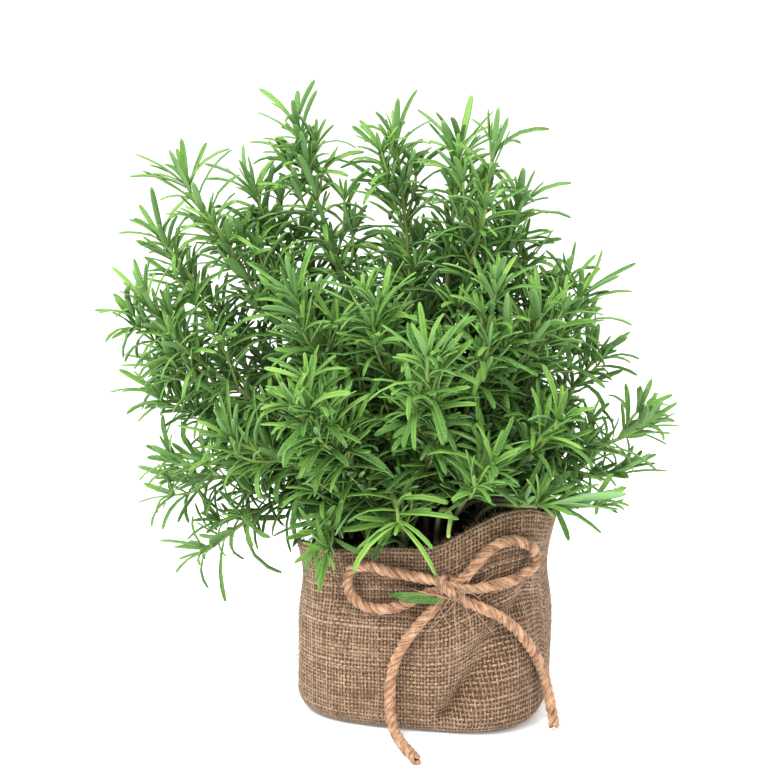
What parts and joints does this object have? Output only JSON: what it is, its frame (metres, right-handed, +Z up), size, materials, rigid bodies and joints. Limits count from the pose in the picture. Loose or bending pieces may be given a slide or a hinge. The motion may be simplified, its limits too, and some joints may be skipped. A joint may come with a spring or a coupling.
{
  "type": "potted rosemary plant",
  "caption": "Bushy rosemary plant in a nursery pot, standing in a burlap sack tied with a jute twine bow.",
  "frame": {"origin": "centre of the sack's base, on the surface it stands on", "axes": "+Z up; the sack's wide front, with the bow, faces -Y; +X to the right seen from the front"},
  "size_m": [0.2806, 0.2275, 0.3113],
  "materials": {
    "burlap": "matte",
    "pot_plastic": "satin",
    "soil": "matte",
    "twine": "matte",
    "rosemary": "satin"
  },
  "bodies": {
    "root": {"burlap_sack": "burlap", "nursery_pot": "pot_plastic", "potting_soil": "soil", "bow_knot": "twine", "bow_stitch": "twine", "bow_loop_left": "twine", "bow_loop_right": "twine", "bow_tail_left": "twine", "bow_tail_right": "twine", "loose_leaf": "rosemary", "shoot_01": "rosemary", "shoot_02": "rosemary", "shoot_03": "rosemary", "shoot_04": "rosemary", "shoot_05": "rosemary", "shoot_06": "rosemary", "shoot_07": "rosemary", "shoot_08": "rosemary", "shoot_09": "rosemary", "shoot_10": "rosemary", "shoot_11": "rosemary", "shoot_12": "rosemary", "shoot_13": "rosemary", "shoot_14": "rosemary", "shoot_15": "rosemary", "shoot_16": "rosemary", "shoot_17": "rosemary", "shoot_18": "rosemary", "shoot_19": "rosemary", "shoot_20": "rosemary", "shoot_21": "rosemary", "shoot_22": "rosemary", "shoot_23": "rosemary", "shoot_24": "rosemary", "shoot_25": "rosemary", "shoot_26": "rosemary", "shoot_27": "rosemary", "shoot_28": "rosemary", "shoot_29": "rosemary", "shoot_30": "rosemary", "shoot_31": "rosemary", "shoot_32": "rosemary", "shoot_33": "rosemary", "shoot_34": "rosemary", "shoot_35": "rosemary", "shoot_36": "rosemary", "shoot_37": "rosemary", "shoot_38": "rosemary", "shoot_39": "rosemary", "shoot_40": "rosemary", "shoot_41": "rosemary", "shoot_42": "rosemary", "shoot_43": "rosemary", "shoot_44": "rosemary", "shoot_45": "rosemary", "shoot_46": "rosemary"}
  },
  "joints": []
}
